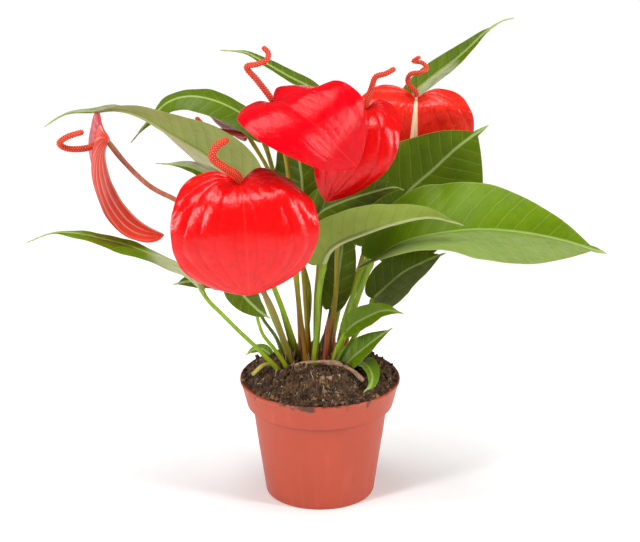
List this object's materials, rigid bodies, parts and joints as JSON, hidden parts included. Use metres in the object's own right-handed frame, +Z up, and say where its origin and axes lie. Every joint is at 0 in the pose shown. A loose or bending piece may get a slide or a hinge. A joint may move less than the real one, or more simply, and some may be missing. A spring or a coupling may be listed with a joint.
{
  "type": "potted anthurium",
  "caption": "Flowering anthurium in a small round nursery pot: glossy heart-shaped red spathes with curling spadices over long pointed green leaves, on a heaped peat soil.",
  "frame": {"origin": "centre of the flat underside of the pot, on the pot's axis", "axes": "+Z up along the pot's axis; -Y towards the front of the plant; +X to the right as seen from the front, along its widest spread"},
  "size_m": [0.4184, 0.1863, 0.3603],
  "materials": {
    "terracotta_plastic": "satin injection-moulded",
    "peat": "moist, crumbly and fibrous",
    "leaf_blade": "waxy satin with pale veins",
    "petiole": "smooth satin, green to olive",
    "spathe": "high-gloss, puckered along its veins",
    "spadix": "finely pebbled",
    "flower_stalk": "smooth satin, olive to pinkish brown",
    "stipule": "papery, reddish",
    "dry_sheath": "dry, brown and papery"
  },
  "bodies": {
    "root": {"cut_stub": "petiole", "dead_sheath": "dry_sheath", "flower_stalk_back": "flower_stalk", "flower_stalk_centre": "flower_stalk", "flower_stalk_front": "flower_stalk", "flower_stalk_left": "flower_stalk", "flower_stalk_right": "flower_stalk", "flower_stalk_top": "flower_stalk", "leaf_behind_flowers": "leaf_blade", "leaf_centre_back": "leaf_blade", "leaf_centre_dark": "leaf_blade", "leaf_front_arching": "leaf_blade", "leaf_left_back": "leaf_blade", "leaf_left_hanging": "leaf_blade", "leaf_left_long": "leaf_blade", "leaf_left_low": "leaf_blade", "leaf_left_narrow": "leaf_blade", "leaf_left_short": "leaf_blade", "leaf_right_back": "leaf_blade", "leaf_right_long": "leaf_blade", "leaf_right_low": "leaf_blade", "leaf_right_spear": "leaf_blade", "leaf_rim_sprout": "leaf_blade", "leaf_small_curled": "leaf_blade", "leaf_small_front": "leaf_blade", "leaf_small_right": "leaf_blade", "leaf_top_slender": "leaf_blade", "petiole_behind_flowers": "petiole", "petiole_centre_back": "petiole", "petiole_centre_dark": "petiole", "petiole_front_arching": "petiole", "petiole_left_back": "petiole", "petiole_left_hanging": "petiole", "petiole_left_long": "petiole", "petiole_left_low": "petiole", "petiole_left_narrow": "petiole", "petiole_left_short": "petiole", "petiole_right_back": "petiole", "petiole_right_long": "petiole", "petiole_right_low": "petiole", "petiole_right_spear": "petiole", "petiole_small_right": "petiole", "petiole_top_slender": "petiole", "pot": "terracotta_plastic", "soil": "peat", "spadix_back": "spadix", "spadix_centre": "spadix", "spadix_front": "spadix", "spadix_left": "spadix", "spadix_right": "spadix", "spadix_top": "spadix", "spathe_back": "spathe", "spathe_centre": "spathe", "spathe_front": "spathe", "spathe_left": "spathe", "spathe_right": "spathe", "spathe_top": "spathe", "stipule_short": "stipule", "stipule_tall": "stipule"}
  },
  "joints": []
}
